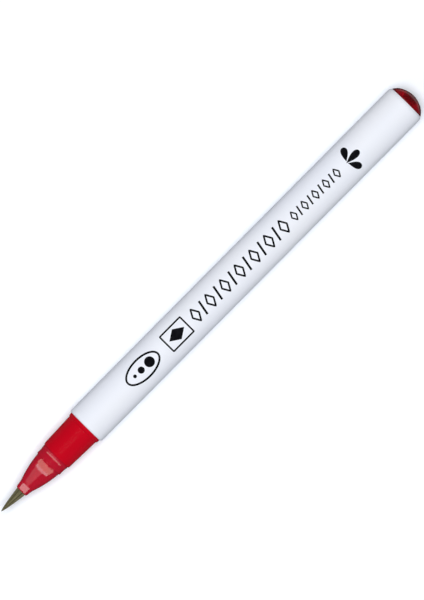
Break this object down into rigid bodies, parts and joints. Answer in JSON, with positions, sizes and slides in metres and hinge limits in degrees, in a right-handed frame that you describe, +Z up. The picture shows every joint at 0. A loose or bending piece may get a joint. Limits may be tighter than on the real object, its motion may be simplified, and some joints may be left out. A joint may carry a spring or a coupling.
{
  "type": "brush pen",
  "caption": "Uncapped brush pen lying level: a flexible bristle tuft in a stepped translucent nose, a plain round barrel and a domed tail plug.",
  "frame": {"origin": "on the surface the pen lies on, below the middle of the pen's length", "axes": "+X along the pen from the brush point to the tail plug, +Z up, the printed side faces +Z"},
  "size_m": [0.14, 0.0104, 0.0104],
  "materials": {
    "barrel_white": "satin bluish white",
    "nose_red": "glossy translucent red",
    "collar_red": "glossy red",
    "plug_red": "glossy translucent dark red",
    "inner_natural": "natural moulded plastic",
    "bristle": "satin nylon filament",
    "root_fused": "fused filament ends",
    "reservoir_fibre": "bonded fibre wet with red ink",
    "film_clear": "clear film",
    "wick_fibre": "extruded fibre rod wet with red ink",
    "print_black": "matt black printing ink"
  },
  "bodies": {
    "pen": {"barrel": "barrel_white", "tail_plug": "plug_red", "reservoir_fibre": "reservoir_fibre", "reservoir_film": "film_clear", "relay_wick": "wick_fibre", "wick_tube": "inner_natural", "tuft_retainer": "inner_natural", "tuft_root": "root_fused", "nose_cone": "nose_red", "grip_collar": "collar_red"},
    "tuft_lower": {"tuft_lower": "bristle"},
    "tuft_belly": {"tuft_belly": "bristle"},
    "tuft_point": {"tuft_point": "bristle"}
  },
  "joints": [
    {"name": "tuft_bend", "type": "hinge", "parent": "pen", "child": "tuft_lower", "pos_m": [-0.0632, 0, 0.0052], "axis": [0, 0, 1], "range_deg": [-12, 12], "stiffness_Nm_per_rad": 0.001},
    {"name": "tuft_belly_bend", "type": "hinge", "parent": "tuft_lower", "child": "tuft_belly", "pos_m": [-0.06558, 0, 0.0052], "axis": [0, 0, 1], "range_deg": [-15, 15]},
    {"name": "tuft_point_bend", "type": "hinge", "parent": "tuft_belly", "child": "tuft_point", "pos_m": [-0.06779, 0, 0.0052], "axis": [0, 0, 1], "range_deg": [-18, 18]}
  ],
  "couplings": [
    {"joint": "tuft_belly_bend", "follows": "tuft_bend", "ratio": 1.25},
    {"joint": "tuft_point_bend", "follows": "tuft_bend", "ratio": 1.5}
  ]
}
